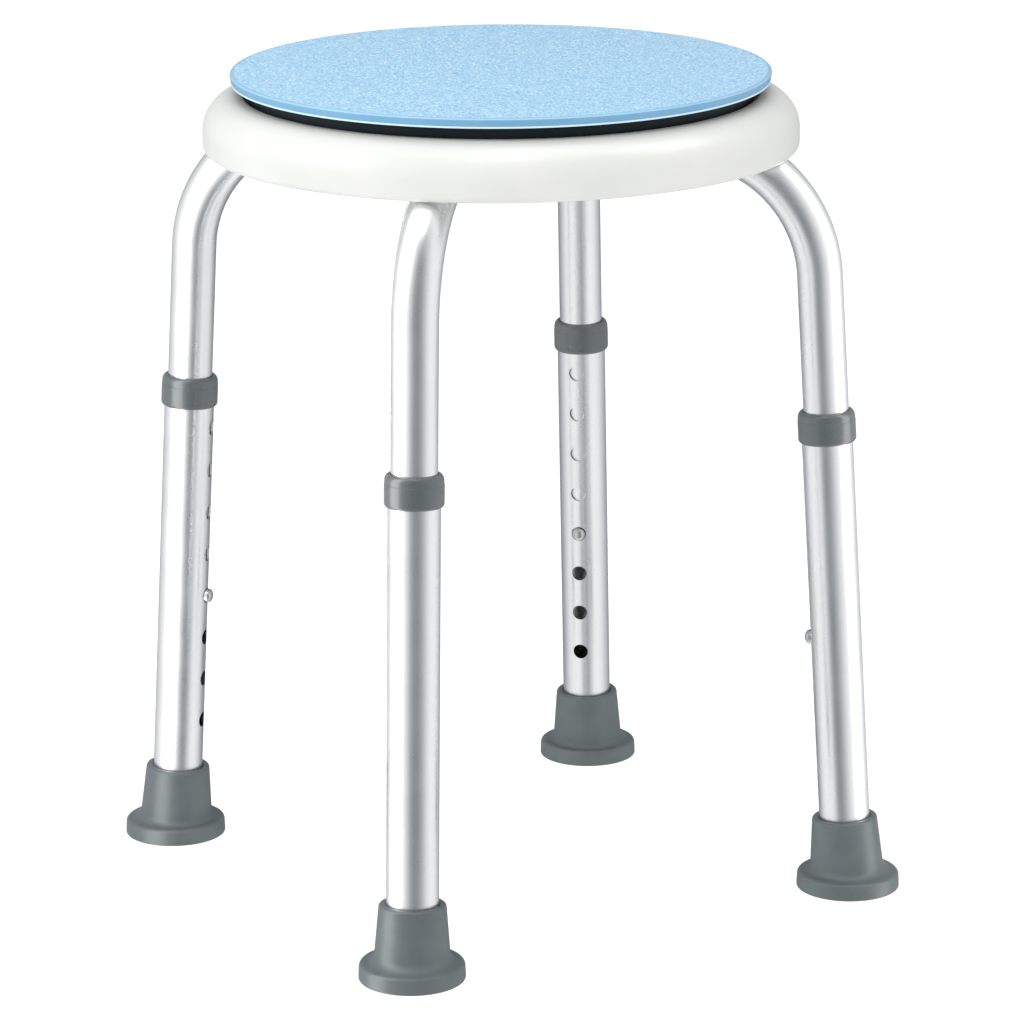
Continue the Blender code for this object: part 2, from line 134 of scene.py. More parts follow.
# Details of the seat.
POCKET_R = 143.5 * MM
SHOULDER_WIDE = 21 * MM
SHOULDER_HIGH = 20 * MM
SEAT_WALL = 4.4 * MM
SEAT_FLOOR = 447.6 * MM
SEAT_UNDER = 444.3 * MM
SEAT_BOSS_R = 42 * MM
SEAT_BOSS_LOW = 432 * MM
RIB_COUNT = 16
RIB_END = 159 * MM
RIB_WIDTH = 2.4 * MM
RIB_HEIGHT = 7 * MM

# Hub: the sleeves lie along the tubes, and the screws stand upright in their bosses.
HUB_R = 58 * MM
HUB_TOP = 431.7 * MM
HUB_LOW = 412 * MM
SLEEVE_R = 15.8 * MM
SLEEVE_BORE = 13.0 * MM
SLEEVE_START = 43.6 * MM
SLEEVE_END = 94 * MM
LEG_SCREW_REACH = 72 * MM
LEG_SCREW_LOW = 408.2 * MM
LEG_SCREW_BOSS_R = 7 * MM
HUB_SCREW_REACH = 28 * MM
HUB_SCREW_LOW = 411.7 * MM

# Pivot, and the hollows that it leaves in the plate and the carrier.
BOLT_BORE = 4.45 * MM
BOLT_R = 4.0 * MM
BOLT_HEAD_R = 7.5 * MM
BOLT_HEAD_LOW = 456.8 * MM
BOLT_HEAD_RISE = 4.4 * MM
THREAD_ROOT_R = 3.55 * MM
THREAD_PITCH = 1.25 * MM
THREAD_LENGTH = 24 * MM
NUT_BORE = 4.2 * MM
HOLLOW_R = 13 * MM
PLATE_HOLLOW_TOP = 461.6 * MM
CARRIER_CEILING = 455.2 * MM


# ---------------------------------------------------------------- shapes

def arc(cx, cz, radius, start, end, steps):
    """Points of a circular arc in the XZ plane, angles in degrees from +X."""
    angles = [math.radians(start + (end - start) * i / steps) for i in range(steps + 1)]
    return [(cx + radius * math.cos(a), cz + radius * math.sin(a)) for a in angles]


def oval(cx, cz, wide, high, start, end, steps):
    """Points of an oval's arc with its own width and height, angles in degrees from +X."""
    return [(cx + wide * (x - cx), cz + high * (z - cz)) for x, z in arc(cx, cz, 1, start, end, steps)]


def rounded(corners, steps=6, closed=False):
    """An outline through (x, z, radius) corners, each turned round with that radius."""
    points = []
    count = len(corners)
    for index, (x, z, radius) in enumerate(corners):
        inner = closed or 0 < index < count - 1
        if radius <= 0 or not inner:
            points.append((x, z))
            continue
        here = Vector((x, z))
        before = (Vector(corners[index - 1][:2]) - here).normalized()
        after = (Vector(corners[(index + 1) % count][:2]) - here).normalized()
        half = before.angle(after) / 2
        centre = here + (before + after).normalized() * (radius / math.sin(half))
        reach = radius / math.tan(half)
        first = here + before * reach - centre
        turn = first.angle_signed(here + after * reach - centre)
        for i in range(steps + 1):
            spoke = first.copy()
            spoke.rotate(Matrix.Rotation(-turn * i / steps, 2))
            points.append(tuple(centre + spoke))
    return points


def new_object(name, mesh):
    obj = bpy.data.objects.new(name, mesh)
    bpy.context.scene.collection.objects.link(obj)
    return obj


def finish_mesh(bm, name, sharp=35):
    """A smooth mesh with faces out and its real corners kept sharp."""
    bmesh.ops.remove_doubles(bm, verts=bm.verts, dist=1e-7)
    bmesh.ops.recalc_face_normals(bm, faces=bm.faces)
    mesh = bpy.data.meshes.new(name)
    bm.to_mesh(mesh)
    bm.free()
    mesh.shade_smooth()
    mesh.set_sharp_from_angle(angle=math.radians(sharp))
    return mesh


def turned_mesh(name, outline, segments, closed=False, sharp=35):
    """A body of revolution about Z. An open outline starts and ends on the axis."""
    bm = bmesh.new()
    rings = []
    for x, z in outline:
        if abs(x) < 1e-9:
            rings.append([bm.verts.new((0, 0, z))])
            continue
        angles = [2 * math.pi * i / segments for i in range(segments)]
        rings.append([bm.verts.new((x * math.cos(a), x * math.sin(a), z)) for a in angles])
    pairs = list(zip(rings, rings[1:]))
    if closed:
        pairs.append((rings[-1], rings[0]))
    for upper, lower in pairs:
        for i in range(segments):
            j = (i + 1) % segments
            corners = [upper[i % len(upper)], lower[i % len(lower)]]
            corners += [lower[j % len(lower)], upper[j % len(upper)]]
            unique = list(dict.fromkeys(corners))
            if len(unique) > 2:
                bm.faces.new(unique)
    return finish_mesh(bm, name, sharp)


def turned(name, outline, segments=96, closed=False, sharp=35):
    return new_object(name, turned_mesh(name, outline, segments, closed, sharp))


def apply_modifiers(obj):
    """The object's mesh as its modifiers leave it, with none left on it."""
    graph = bpy.context.evaluated_depsgraph_get()
    mesh = bpy.data.meshes.new_from_object(obj.evaluated_get(graph))
    obj.modifiers.clear()
    obj.data = mesh
    return obj


def clean_cut(mesh):
    """Split the many-sided faces a cut leaves and drop the ones without area."""
    bm = bmesh.new()
    bm.from_mesh(mesh)
    bmesh.ops.remove_doubles(bm, verts=bm.verts, dist=0.002 * MM)
    bmesh.ops.triangulate(bm, faces=[face for face in bm.faces if len(face.verts) > 4])
    bmesh.ops.dissolve_degenerate(bm, edges=bm.edges, dist=0.002 * MM)
    bm.to_mesh(mesh)
    bm.free()


def combine(obj, others, operation, sharp=35):
    """Cut the others from obj or join them to it, then remove them."""
    for other in others:
        modifier = obj.modifiers.new(operation, "BOOLEAN")
        modifier.operation = operation
        modifier.object = other
        modifier.solver = "EXACT"
    bpy.context.view_layer.update()
    apply_modifiers(obj)
    clean_cut(obj.data)
    for other in others:
        bpy.data.objects.remove(other, do_unlink=True)
    obj.data.shade_smooth()
    obj.data.set_sharp_from_angle(angle=math.radians(sharp))
    return obj


def rod(name, radius, length, segments=48, matrix=Matrix()):
    """A plain closed cylinder from z = 0 up, used as a cutter or a joined boss."""
    obj = turned(name, [(0, length), (radius, length), (radius, 0), (0, 0)], segments)
    obj.matrix_world = matrix
    return obj


def block(name, size, centre, turn=0.0):
    bm = bmesh.new()
    bmesh.ops.create_cube(bm, size=1)
    bmesh.ops.scale(bm, vec=size, verts=bm.verts)
    bmesh.ops.translate(bm, vec=centre, verts=bm.verts)
    bmesh.ops.rotate(bm, cent=(0, 0, 0), matrix=Matrix.Rotation(turn, 3, "Z"), verts=bm.verts)
    return new_object(name, finish_mesh(bm, name))


def set_drawn(mesh, coordinates):
    """Each point's place round and along a drawn tube, which its fine lines follow."""
    layer = mesh.attributes.new("drawn", "FLOAT_VECTOR", "POINT")
    layer.data.foreach_set("vector", [value for point in coordinates for value in point])


# ---------------------------------------------------------------- materials

def new_material(name):
    material = bpy.data.materials.new(name)
    material.use_nodes = True
    return material, material.node_tree, material.node_tree.nodes["Principled BSDF"]


def add(tree, kind, **values):
    """A node, with its properties, and its inputs given as name=value where spaces are underscores."""
    node = tree.nodes.new(kind)
    for key, value in values.items():
        if hasattr(node, key):
            setattr(node, key, value)
        else:
            node.inputs[key.replace("_", " ")].default_value = value
    return node


def ramp(tree, source, stops):
    """A colour ramp from (position, colour) stops."""
    node = tree.nodes.new("ShaderNodeValToRGB")
    elements = node.color_ramp.elements
    while len(elements) < len(stops):
        elements.new(0.5)
    for element, (position, colour) in zip(elements, stops):
        element.position = position
        element.color = (*colour, 1)
    tree.links.new(source, node.inputs["Fac"])
    return node.outputs["Color"]


def grey(value):
    return (value, value, value)


def bump(tree, shader, height, strength, distance, base=None):
    node = add(tree, "ShaderNodeBump", Strength=strength, Distance=distance)
    tree.links.new(height, node.inputs["Height"])
    if base is not None:
        tree.links.new(base, node.inputs["Normal"])
    tree.links.new(node.outputs["Normal"], shader.inputs["Normal"])
    return node.outputs["Normal"]


def noise(tree, vector, scale, detail=3.0, roughness=0.55):
    node = add(tree, "ShaderNodeTexNoise", Scale=scale, Detail=detail, Roughness=roughness)
    tree.links.new(vector, node.inputs["Vector"])
    return node.outputs["Fac"]


def object_place(tree):
    return tree.nodes.new("ShaderNodeTexCoord").outputs["Object"]


def anodised_aluminium():
    """Satin anodised tube: faint lines along the draw, and a slow drift in sheen."""
    material, tree, shader = new_material("anodised_aluminium")
    shader.inputs["Metallic"].default_value = 1
    drawn = add(tree, "ShaderNodeAttribute", attribute_name="drawn").outputs["Vector"]
    lines = noise(tree, drawn, 9000, 3.0, 0.6)
    cloud = noise(tree, object_place(tree), 38, 2.0)
    colour = ramp(tree, lines, [(0.30, (0.86, 0.87, 0.885)), (0.70, (0.915, 0.922, 0.935))])
    tree.links.new(colour, shader.inputs["Base Color"])
    rough = ramp(tree, cloud, [(0.35, grey(0.25)), (0.65, grey(0.31))])
    tree.links.new(rough, shader.inputs["Roughness"])
    bump(tree, shader, lines, 0.05, 0.00001)
    return material


def moulded_plastic(name, low, high, roughness, grain_scale, grain, coat=0.0, specular=0.5):
    """Moulded plastic: a slight drift in colour and sheen under a fine mould grain."""
    material, tree, shader = new_material(name)
    place = object_place(tree)
    cloud = noise(tree, place, 24, 2.0)
    tree.links.new(ramp(tree, cloud, [(0.35, low), (0.65, high)]), shader.inputs["Base Color"])
    sheen = ramp(tree, noise(tree, place, 90, 3.0), [
        (0.3, grey(roughness - 0.03)), (0.7, grey(roughness + 0.03))])
    tree.links.new(sheen, shader.inputs["Roughness"])
    shader.inputs["Specular IOR Level"].default_value = specular
    shader.inputs["Coat Weight"].default_value = coat
    shader.inputs["Coat Roughness"].default_value = 0.34
    bump(tree, shader, noise(tree, place, grain_scale, 2.0), grain, 0.0001)
    return material


def sparkling_blue():
    """The seat plate: light blue with a fine pebbled grain and pale mica flecks."""
    material, tree, shader = new_material("sparkling_blue_plastic")
    place = object_place(tree)
    cells = add(tree, "ShaderNodeTexVoronoi", Scale=1100.0)
    tree.links.new(place, cells.inputs["Vector"])
    pick = tree.nodes.new("ShaderNodeSeparateColor")
    tree.links.new(cells.outputs["Color"], pick.inputs["Color"])
    fleck = ramp(tree, pick.outputs["Red"], [(0.84, grey(0)), (1.0, grey(0.85))])
    tone = noise(tree, place, 800, 4.0, 0.78)
    body = ramp(tree, tone, [
        (0.35, (0.155, 0.39, 0.67)), (0.5, (0.345, 0.62, 0.86)), (0.65, (0.59, 0.84, 0.97))])
    mix = add(tree, "ShaderNodeMix", data_type="RGBA")
    tree.links.new(fleck, mix.inputs["Factor"])
    tree.links.new(body, mix.inputs[6])
    mix.inputs[7].default_value = (0.88, 0.98, 1.0, 1)
    tree.links.new(mix.outputs[2], shader.inputs["Base Color"])
    rough = ramp(tree, pick.outputs["Green"], [(0.2, grey(0.30)), (0.9, grey(0.50))])
    tree.links.new(rough, shader.inputs["Roughness"])
    bump(tree, shader, tone, 0.5, 0.00015)
    return material


def smooth_blue(name, low, high):
    """A blue without grain, drifting between two colours, for the bands of the plate's edge: a darker blue
    on the side, painted shade, and paler blues on the rounded top edge and the lower edge, painted
    highlights.
    """
    material, tree, shader = new_material(name)
    cloud = noise(tree, object_place(tree), 30, 2.0)
    colour = ramp(tree, cloud, [(0.3, low), (0.7, high)])
    tree.links.new(colour, shader.inputs["Base Color"])
    rough = ramp(tree, cloud, [(0.3, grey(0.24)), (0.7, grey(0.28))])
    tree.links.new(rough, shader.inputs["Roughness"])
    return material


def rubber_material():
    """Moulded grey rubber: matte, with a soft bloom and a fine grain."""
    material, tree, shader = new_material("grey_rubber")
    place = object_place(tree)
    cloud = noise(tree, place, 60, 4.0)
    colour = ramp(tree, cloud, [(0.3, (0.092, 0.115, 0.121)), (0.7, (0.108, 0.134, 0.140))])
    tree.links.new(colour, shader.inputs["Base Color"])
    rough = ramp(tree, noise(tree, place, 300, 3.0), [(0.3, grey(0.34)), (0.7, grey(0.42))])
    tree.links.new(rough, shader.inputs["Roughness"])
    bump(tree, shader, noise(tree, place, 2200, 3.0), 0.12, 0.0001)
    return material


def steel_material(name, low, high):
    """Plated or bright steel with hair-fine turning marks."""
    material, tree, shader = new_material(name)
    shader.inputs["Metallic"].default_value = 1
    place = object_place(tree)
    marks = noise(tree, place, 1800, 3.0)
    tree.links.new(ramp(tree, marks, [(0.3, grey(low)), (0.7, grey(high))]), shader.inputs["Base Color"])
    rough = ramp(tree, noise(tree, place, 400, 2.0), [(0.3, grey(0.10)), (0.7, grey(0.2))])
    tree.links.new(rough, shader.inputs["Roughness"])
    return material


# ---------------------------------------------------------------- pieces

def station(corner):
    """The upright frame at a corner: X points outwards along the leg's plane."""
    spot = MOUNTS["sole_" + corner]
    return Matrix.Rotation(math.atan2(spot.y, spot.x), 4, "Z")


def leg_line(corner):
    """The frame on a leg's axis: Z runs up the leg from the floor, X points outwards."""
    return station(corner) @ Matrix.Translation((FOOT_REACH, 0, 0)) @ Matrix.Rotation(-SPLAY, 4, "Y")


def stand(obj, matrix, body, slot, material, *nodes):
    """Put a piece in place on its body, with its finish, in place of its CAD nodes."""
    obj.data.transform(matrix)
    if material is not None:
        obj.data.materials.clear()
        obj.data.materials.append(material)
    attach(obj, body)
    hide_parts(*nodes)
    return obj


def upper_tube_mesh():
    """Sweep the tube's ring round the bend, outer skin down and bore back up."""
    down = Vector((math.sin(SPLAY), -math.cos(SPLAY)))
    reach = FOOT_REACH - (BEND_CENTRE_Z + BEND_R * math.sin(SPLAY)) * math.tan(SPLAY)
    centre = (reach - BEND_R * math.cos(SPLAY), BEND_CENTRE_Z)
    bend = arc(*centre, BEND_R, 90, math.degrees(SPLAY), 40)
    end = Vector((FOOT_REACH, 0)) - down * UPPER_END
    straight = [tuple(Vector(bend[-1]).lerp(end, i / 24)) for i in range(1, 25)]
    path = [(TUBE_INNER_END, TUBE_AXIS_Z), *bend, *straight]
    bm = bmesh.new()
    loops = []
    drawn = []

    def ring(index, radius, slide=0.0):
        here = Vector(path[index])
        ahead = Vector(path[min(index + 1, len(path) - 1)]) - Vector(path[max(index - 1, 0)])
        ahead.normalize()
        side = Vector((-ahead.y, ahead.x))
        here = here + ahead * slide
        along = sum((Vector(b) - Vector(a)).length for a, b in zip(path[:index], path[1:index + 1]))
        made = []
        for i in range(TUBE_SIDES):
            angle = 2 * math.pi * i / TUBE_SIDES
            c, s = math.cos(angle), math.sin(angle)
            across = side * c * radius
            made.append(bm.verts.new((here.x + across.x, s * radius, here.y + across.y)))
            drawn.append((c * radius, s * radius, along * 0.02))
        loops.append(made)

    last = len(path) - 1
    ring(0, UPPER_R - TUBE_CHAMFER)
    ring(0, UPPER_R, TUBE_CHAMFER)
    for index in range(1, last):
        ring(index, UPPER_R)
    ring(last, UPPER_R, -TUBE_CHAMFER)
    ring(last, UPPER_R - TUBE_CHAMFER)
    for index in range(last, -1, -1):
        ring(index, UPPER_BORE)
    for a, b in zip(loops, loops[1:] + loops[:1]):
        for i in range(TUBE_SIDES):
            j = (i + 1) % TUBE_SIDES
            bm.faces.new((a[i], a[j], b[j], b[i]))
    mesh = finish_mesh(bm, "upper_tube_fine", 30)
    set_drawn(mesh, drawn)
    return mesh


def button_hole(radius, reach, height):
    """A cutter through the wall on the side that faces the stool's axis."""
    turn = Matrix.Translation((-MM, 0, height)) @ Matrix.Rotation(-math.pi / 2, 4, "Y")
    return rod("cut_hole", radius, reach, 48, turn)


def lower_tube_mesh():
    """The straight outer tube with its row of height holes."""
    top = COLLAR_SEAT - 0.3 * MM
    levels = [top - TUBE_CHAMFER + (LOWER_END + 2 * TUBE_CHAMFER - top) * i / 40 for i in range(41)]
    outline = [
        (LOWER_R - TUBE_CHAMFER, top),
        *[(LOWER_R, z) for z in levels],
        (LOWER_R - TUBE_CHAMFER, LOWER_END),
        (LOWER_BORE, LOWER_END),
        (LOWER_BORE, top),
    ]
    tube = turned("lower_tube_fine", outline, TUBE_SIDES, closed=True)
    holes = [button_hole(HOLE_R, 16 * MM, FIRST_HOLE + i * HOLE_PITCH) for i in range(HOLE_COUNT)]
    combine(tube, holes, "DIFFERENCE", 30)
    mesh = tube.data
    bpy.data.objects.remove(tube, do_unlink=True)
    tidy_tube_normals(mesh)
    set_drawn(mesh, [(v.co.x, v.co.y, v.co.z * 0.02) for v in mesh.vertices])
    return mesh


def tidy_tube_normals(mesh):
    """Give the skin and the bore a true round shading right up to the edges of the holes."""
    normals = [None] * len(mesh.loops)
    for face in mesh.polygons:
        middle = face.center
        spoke = Vector((middle.x, middle.y, 0)).normalized()
        facing = face.normal.dot(spoke)
        for loop in face.loop_indices:
            point = mesh.vertices[mesh.loops[loop].vertex_index].co
            if abs(facing) > 0.98:
                round_normal = Vector((point.x, point.y, 0)).normalized()
                normals[loop] = round_normal if facing > 0 else -round_normal
            else:
                normals[loop] = face.normal.copy()
    mesh.normals_split_custom_set(normals)


def make_tubes(aluminium):
    upper = upper_tube_mesh()
    lower = lower_tube_mesh()
    for corner in CORNERS:
        tube = new_object("upper_tube_fine_" + corner, upper.copy())
        stand(tube, station(corner), "frame", "anodised_aluminium", aluminium, "upper_tube_" + corner)
        tube = new_object("lower_tube_fine_" + corner, lower.copy())
        stand(tube, leg_line(corner), "leg_" + corner, "anodised_aluminium", aluminium,
              "lower_tube_" + corner)


def collar_outline():
    """Section of a collar: rounded shoulder with a fine step line, and a rounded lower edge."""
    lip = UPPER_R + 0.3 * MM
    skirt = LOWER_R + 0.2 * MM
    step = 0.2 * MM
    wide, high = COLLAR_SHOULDER
    foot_wide, foot_high = COLLAR_HEM
    return [
        (lip, COLLAR_HIGH - 0.3 * MM),
        *oval(COLLAR_R - step - wide, COLLAR_HIGH - high, wide, high, 88, 0, 12),
        (COLLAR_R - step, COLLAR_HIGH - 5.4 * MM),
        (COLLAR_R - 0.03 * MM, COLLAR_HIGH - 5.55 * MM),
        (COLLAR_R, COLLAR_HIGH - 5.7 * MM),
        *oval(COLLAR_R - foot_wide, COLLAR_LOW + foot_high, foot_wide, foot_high, 0, -88, 10),
        (skirt, COLLAR_LOW + 0.25 * MM),
        (skirt, COLLAR_SEAT),
        (lip, COLLAR_SEAT),
    ]


def make_collars(plastic):
    mesh = turned_mesh("collar_fine", collar_outline(), TUBE_SIDES, closed=True)
    for corner in CORNERS:
        collar = new_object("collar_fine_" + corner, mesh.copy())
        stand(collar, leg_line(corner), "leg_" + corner, "grey_plastic", plastic, "collar_" + corner)


def smooth_rise(value, low, high):
    """0 up to low and 1 from high on, with a smooth rise between them."""
    share = min(max((value - low) / (high - low), 0), 1)
    return share * share * (3 - 2 * share)


def foot_mesh():
    """Level flange with grooves in its sole, flowing into a socket that leans with the leg."""
    tread = []
    for radius in (24, 20, 16, 12, 8):
        outer = radius * MM
        tread += [(outer, 0, 0), (outer - 0.4 * MM, TREAD_DEPTH, 0), (outer - 1.6 * MM, TREAD_DEPTH, 0),
                  (outer - 2.0 * MM, 0, 0)]
    bore = LOWER_R + 0.15 * MM
    mesh = turned_mesh("foot_fine", rounded([
        (0, FOOT_BORE_FLOOR, 0),
        (bore, FOOT_BORE_FLOOR, 0),
        (bore, FOOT_HEIGHT - 1.0 * MM, 0),
        (bore + 0.9 * MM, FOOT_HEIGHT, 0.6 * MM),
        (FOOT_TOP_R, FOOT_HEIGHT, 1.9 * MM),
        (FOOT_LOW_R, FLANGE_HEIGHT + 0.6 * MM, 5.5 * MM),
        (FLANGE_R - 0.4 * MM, FLANGE_HEIGHT - 0.8 * MM, 2.6 * MM),
        (FLANGE_R, 0, 1.0 * MM),
        *tread,
        (0, 0, 0),
    ], 9), 128, sharp=40)
    line = Matrix.Rotation(-SPLAY, 4, "Y")
    for vertex in mesh.vertices:
        radius = vertex.co.xy.length
        share = smooth_rise(vertex.co.z, 7 * MM, 12 * MM) * (1 - smooth_rise(radius, 22 * MM, 28 * MM))
        vertex.co = vertex.co.lerp(line @ vertex.co, share)
    mesh.transform(Matrix.Translation((FOOT_REACH, 0, 0)))
    return mesh


def make_feet(rubber):
    mesh = foot_mesh()
    for corner in CORNERS:
        foot = new_object("foot_fine_" + corner, mesh.copy())
        stand(foot, station(corner), "leg_" + corner, "grey_rubber", rubber, "foot_" + corner)


def make_buttons(bright):
    """Snap buttons: a polished pin with a domed end and a flange inside the tube."""
    dome = arc(0, BUTTON_TIP - BUTTON_DOME, BUTTON_DOME, 90, 0, 10)
    outline = [(x * BUTTON_R / BUTTON_DOME, z) for x, z in dome]
    outline += rounded([
        outline[-1] + (0,),
        (BUTTON_R, BUTTON_FLANGE_HIGH, 0.2 * MM),
        (BUTTON_FLANGE_R, BUTTON_FLANGE_HIGH, 0.2 * MM),
        (BUTTON_FLANGE_R, BUTTON_FLANGE_LOW, 0.2 * MM),
        (0, BUTTON_FLANGE_LOW, 0),
    ], 3)[1:]
    mesh = turned_mesh("snap_button_fine", outline, 64)
    turn = Matrix.Translation((0, 0, BUTTON_HEIGHT)) @ Matrix.Rotation(-math.pi / 2, 4, "Y")
    for corner in CORNERS:
        button = new_object("snap_button_fine_" + corner, mesh.copy())
        stand(button, leg_line(corner) @ turn, "button_" + corner, "steel", bright, "snap_button_" + corner)


def seat_ribs():
    """Ribs under the seat's floor, from the boss outwards, left out where the tubes pass."""
    length = RIB_END - SEAT_BOSS_R + 2 * MM
    middle = ((RIB_END + SEAT_BOSS_R - 2 * MM) / 2, 0, SEAT_UNDER - 3 * MM)
    ribs = []
    for index in range(RIB_COUNT):
        if index % 4 != 2:
            turn = 2 * math.pi * index / RIB_COUNT
            ribs.append(block(f"rib_{index}", (length, RIB_WIDTH, RIB_HEIGHT), middle, turn))
    return ribs


def make_seat(white):
    """The moulded seat with its broad round shoulder, pocket and skirt, and ribs under the floor."""
    crest = SEAT_HIGH.z
    bottom = SEAT_LOW.z
    spring_r = SEAT_R - SHOULDER_WIDE
    spring_z = crest - SHOULDER_HIGH
    hollow_wide = SHOULDER_WIDE - SEAT_WALL
    hollow_high = SHOULDER_HIGH - SEAT_WALL
    floor_turn = math.degrees(math.asin((SEAT_UNDER - spring_z) / hollow_high))
    shoulder = oval(spring_r, spring_z, SHOULDER_WIDE, SHOULDER_HIGH, 88, 0, 28)
    hollow = oval(spring_r, spring_z, hollow_wide, hollow_high, 0, floor_turn, 14)
    seat = turned("seat_fine", rounded([
        (BOLT_BORE, SEAT_FLOOR, 0),
        (POCKET_R, SEAT_FLOOR, 0.8 * MM),
        (POCKET_R, crest, 1.6 * MM),
        *[(x, z, 0) for x, z in shoulder],
        (SEAT_R, bottom, 3.1 * MM),
        (SEAT_R - SEAT_WALL, bottom, 0.7 * MM),
        *[(x, z, 0) for x, z in hollow],
        (SEAT_BOSS_R, SEAT_UNDER, 1.5 * MM),
        (SEAT_BOSS_R, SEAT_BOSS_LOW, 0.8 * MM),
        (BOLT_BORE, SEAT_BOSS_LOW, 0),
    ], 10, closed=True), 256, closed=True)
    combine(seat, seat_ribs(), "UNION", 35)
    stand(seat, Matrix(), "frame", "white_plastic", white, "seat_shell")


def make_hub(white):
    """The moulding that holds the tubes: a disc, four sleeves with rounded mouths, and screw bosses."""
    hub = turned("leg_hub_fine", rounded([
        (BOLT_BORE, HUB_TOP, 0),
        (HUB_R, HUB_TOP, 0.8 * MM),
        (HUB_R, HUB_LOW, 1.6 * MM),
        (BOLT_BORE, HUB_LOW, 0),
    ], 6, closed=True), 128, closed=True)
    joined = []
    cut = []
    lay = Matrix.Rotation(math.pi / 2, 4, "Y")
    for corner in CORNERS:
        at = station(corner)
        sleeve = turned("join_sleeve", rounded([
            (0, SLEEVE_END, 0),
            (SLEEVE_R, SLEEVE_END, 1.0 * MM),
            (SLEEVE_R, SLEEVE_START, 0.6 * MM),
            (0, SLEEVE_START, 0),
        ], 5), 96)
        sleeve.matrix_world = at @ Matrix.Translation((0, 0, TUBE_AXIS_Z)) @ lay
        boss = turned("join_boss", rounded([
            (0, 6.4 * MM, 0),
            (LEG_SCREW_BOSS_R, 6.4 * MM, 0),
            (LEG_SCREW_BOSS_R, 0, 0.6 * MM),
            (0, 0, 0),
        ], 4), 48)
        boss.matrix_world = at @ Matrix.Translation((LEG_SCREW_REACH, 0, 408.5 * MM))
        joined += [sleeve, boss]
        tube = at @ Matrix.Translation((47 * MM, 0, TUBE_AXIS_Z)) @ lay
        screw = at @ Matrix.Translation((LEG_SCREW_REACH, 0, 407.5 * MM))
        cut.append(rod("cut_sleeve", SLEEVE_BORE, 48 * MM, 96, tube))
        cut.append(rod("cut_boss", 2.9 * MM, 34 * MM, 32, screw))
    combine(hub, joined, "UNION")
    combine(hub, cut, "DIFFERENCE")
    stand(hub, Matrix(), "frame", "white_plastic", white, "leg_hub")


def pan_screw_mesh(name, shank, length):
    """A pan-head screw pointing up, its head below z = 0, with a cross recess in the head."""
    head = 2 * shank
    depth = 2.7 * MM
    outline = rounded([
        (0, length, 0), (shank * 0.5, length, 0), (shank, length - shank, 0), (shank, 0, 0.15 * MM),
        (head, 0, 0.3 * MM), (head, -1.1 * MM, 1.4 * MM), (head * 0.5, -depth, 1.5 * MM), (0, -depth, 0),
    ], 6)
    screw = turned(name, outline, 48)
    slots = [block("cut_cross", (head * 1.05, 0.9 * MM, 2.4 * MM), (0, 0, -depth), turn)
             for turn in (0, math.pi / 2)]
    cross = combine(slots[0], slots[1:], "UNION")
    combine(screw, [cross], "DIFFERENCE")
    mesh = screw.data
    bpy.data.objects.remove(screw, do_unlink=True)
    return mesh


def make_screws(steel):
    leg = pan_screw_mesh("leg_screw_fine", 2.5 * MM, 33.6 * MM)
    for corner in CORNERS:
        screw = new_object("leg_screw_fine_" + corner, leg.copy())
        place = station(corner) @ Matrix.Translation((LEG_SCREW_REACH, 0, LEG_SCREW_LOW))
        stand(screw, place, "frame", "steel", steel, "leg_screw_" + corner)
    short = pan_screw_mesh("hub_screw_fine", 2.0 * MM, 31.3 * MM)
    for index, side in enumerate(("right", "rear", "left", "front")):
        screw = new_object("hub_screw_fine_" + side, short.copy())
        turn = Matrix.Rotation(index * math.pi / 2, 4, "Z")
        place = turn @ Matrix.Translation((HUB_SCREW_REACH, 0, HUB_SCREW_LOW))
        stand(screw, place, "frame", "steel", steel, "hub_screw_" + side)


def make_nut(steel):
    """The lock nut: a hexagon with chamfered corners, and its round nylon end."""
    low, high = (corner.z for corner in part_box("lock_nut"))
    nut = turned("lock_nut_fine", [
        (NUT_BORE, high),
        (7.4 * MM, high),
        (7.4 * MM, low + 1.6 * MM),
        (NUT_BORE, low + 1.6 * MM),
    ], 6, closed=True, sharp=20)
    trim = turned("trim", [
        (0, high + MM),
        (5.4 * MM, high + MM),
        (9.4 * MM, high - 1.6 * MM),
        (9.4 * MM, low + 3.4 * MM),
        (5.9 * MM, low),
        (0, low),
    ], 64)
    combine(nut, [trim], "INTERSECT", 20)
    ring = turned("ring", rounded([
        (NUT_BORE, low + 2.2 * MM, 0),
        (6.2 * MM, low + 2.2 * MM, 0),
        (6.2 * MM, low, 0.8 * MM),
        (NUT_BORE, low, 0.3 * MM),
    ], 5, closed=True), 64, closed=True)
    combine(nut, [ring], "UNION", 30)
    stand(nut, Matrix(), "frame", "steel", steel, "lock_nut")


def make_bolt(steel):
    """The pivot bolt: a low domed head, a plain shank and a threaded end."""
    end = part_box("pivot_bolt")[0].z
    threads = []
    level = end + THREAD_LENGTH
    while level > end + 1.5 * MM:
        threads += [(BOLT_R, level), (THREAD_ROOT_R, level - 0.62 * MM)]
        level -= THREAD_PITCH
    head = arc(0, BOLT_HEAD_LOW, BOLT_HEAD_RISE, 90, 0, 10)
    bolt = turned("pivot_bolt_fine", [
        *[(x * BOLT_HEAD_R / BOLT_HEAD_RISE, z) for x, z in head],
        (BOLT_R, BOLT_HEAD_LOW),
        *threads,
        (3.0 * MM, end),
        (0, end),
    ], 64, sharp=50)
    stand(bolt, Matrix(), "frame", "steel", steel, "pivot_bolt")


